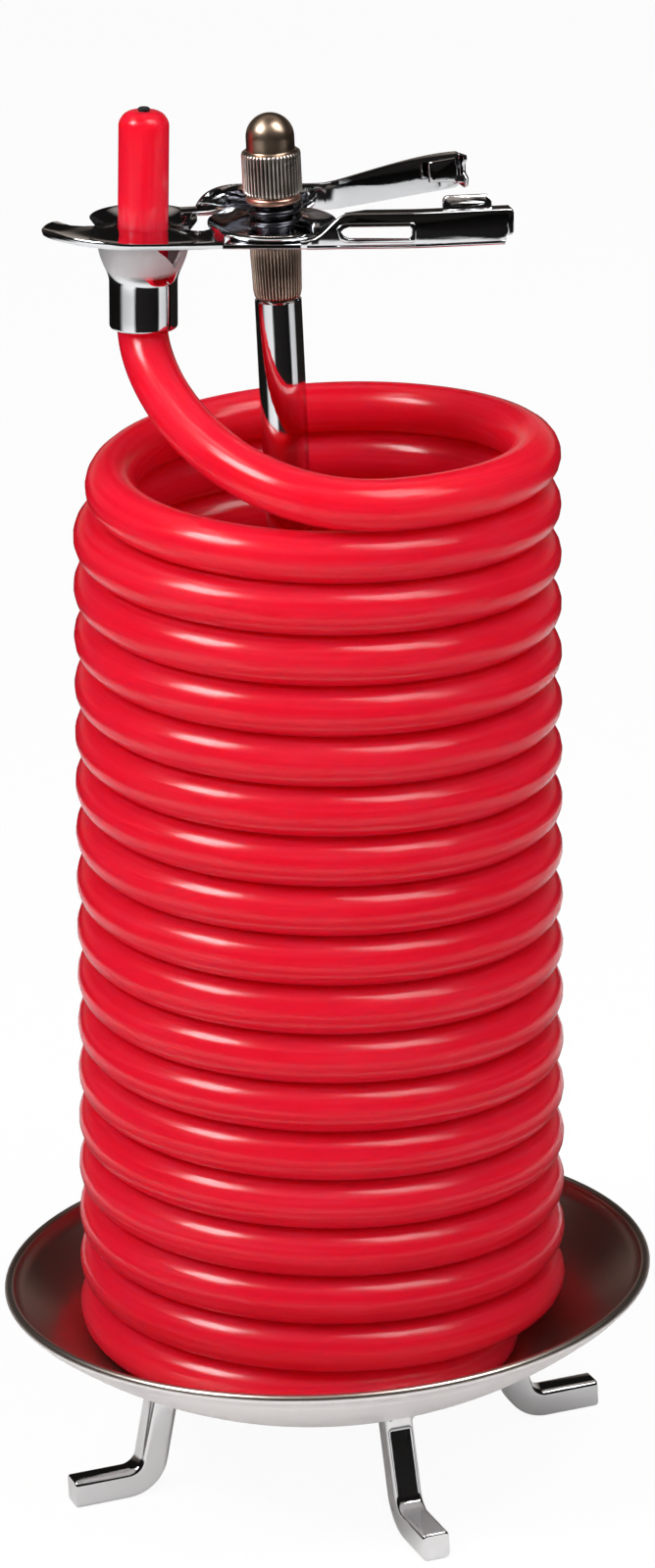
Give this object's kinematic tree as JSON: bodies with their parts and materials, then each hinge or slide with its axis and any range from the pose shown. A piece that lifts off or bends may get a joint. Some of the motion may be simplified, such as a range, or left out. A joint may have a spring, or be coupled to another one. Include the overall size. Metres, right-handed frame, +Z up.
{
  "type": "coiled wax taper stand",
  "caption": "Coiled red wax taper standing round a chromed post on a four-legged drip dish, its tip held by a scissor spring clip with a cup-shaped jaw.",
  "frame": {"origin": "on the post's axis at the level of the feet", "axes": "+Z up along the post, +X towards the clip's handles, -Y towards the front"},
  "size_m": [0.108, 0.108, 0.2339],
  "materials": {
    "plated_dish": "nickel-chrome plated sheet, polished inside and satin outside",
    "plated_bar": "polished chrome plate",
    "plated_tube": "polished chrome plate",
    "plated_sheet": "polished chrome plate",
    "knurled_metal": "knurled, dark nickel over brass",
    "copper_ring": "bright copper",
    "spring_steel": "drawn wire",
    "zinc_steel": "zinc plated",
    "red_wax": "waxy semi-gloss",
    "black_wick": "waxed cotton, matt"
  },
  "bodies": {
    "stand": {"drip_dish": "plated_dish", "leg_1": "plated_bar", "leg_2": "plated_bar", "leg_3": "plated_bar", "leg_4": "plated_bar", "post_tube": "plated_tube", "tie_rod": "zinc_steel", "base_washer": "zinc_steel", "base_nut": "zinc_steel", "knurled_collar": "knurled_metal"},
    "swivel": {"pivot_bush": "spring_steel", "clip_spring": "spring_steel", "wax_coil": "red_wax", "wax_riser": "red_wax", "wax_tip": "red_wax", "wick": "black_wick"},
    "front_jaw": {"front_lever": "plated_sheet", "front_cup": "plated_sheet"},
    "back_jaw": {"back_lever": "plated_sheet", "back_cup": "plated_sheet"},
    "top_nut": {"finial": "knurled_metal", "copper_washer": "copper_ring"}
  },
  "joints": [
    {"name": "clip_turn", "type": "hinge", "parent": "stand", "child": "swivel", "pos_m": [0, 0, 0.2136], "axis": [0, 0, 1], "continuous": true},
    {"name": "front_jaw_open", "type": "hinge", "parent": "swivel", "child": "front_jaw", "pos_m": [0, 0, 0.2136], "axis": [0.0488, 0, 0.9988], "range_deg": [0, 12], "stiffness_Nm_per_rad": 0.06, "springref_deg": -20.05, "deforming": ["clip_spring"]},
    {"name": "back_jaw_open", "type": "hinge", "parent": "swivel", "child": "back_jaw", "pos_m": [0, 0, 0.2136], "axis": [0.0488, 0, 0.9988], "range_deg": [-12, 0]},
    {"name": "finial_turn", "type": "hinge", "parent": "stand", "child": "top_nut", "pos_m": [0, 0, 0.225], "axis": [0, 0, 1], "continuous": true}
  ],
  "couplings": [
    {"joint": "back_jaw_open", "follows": "front_jaw_open", "ratio": -1}
  ]
}
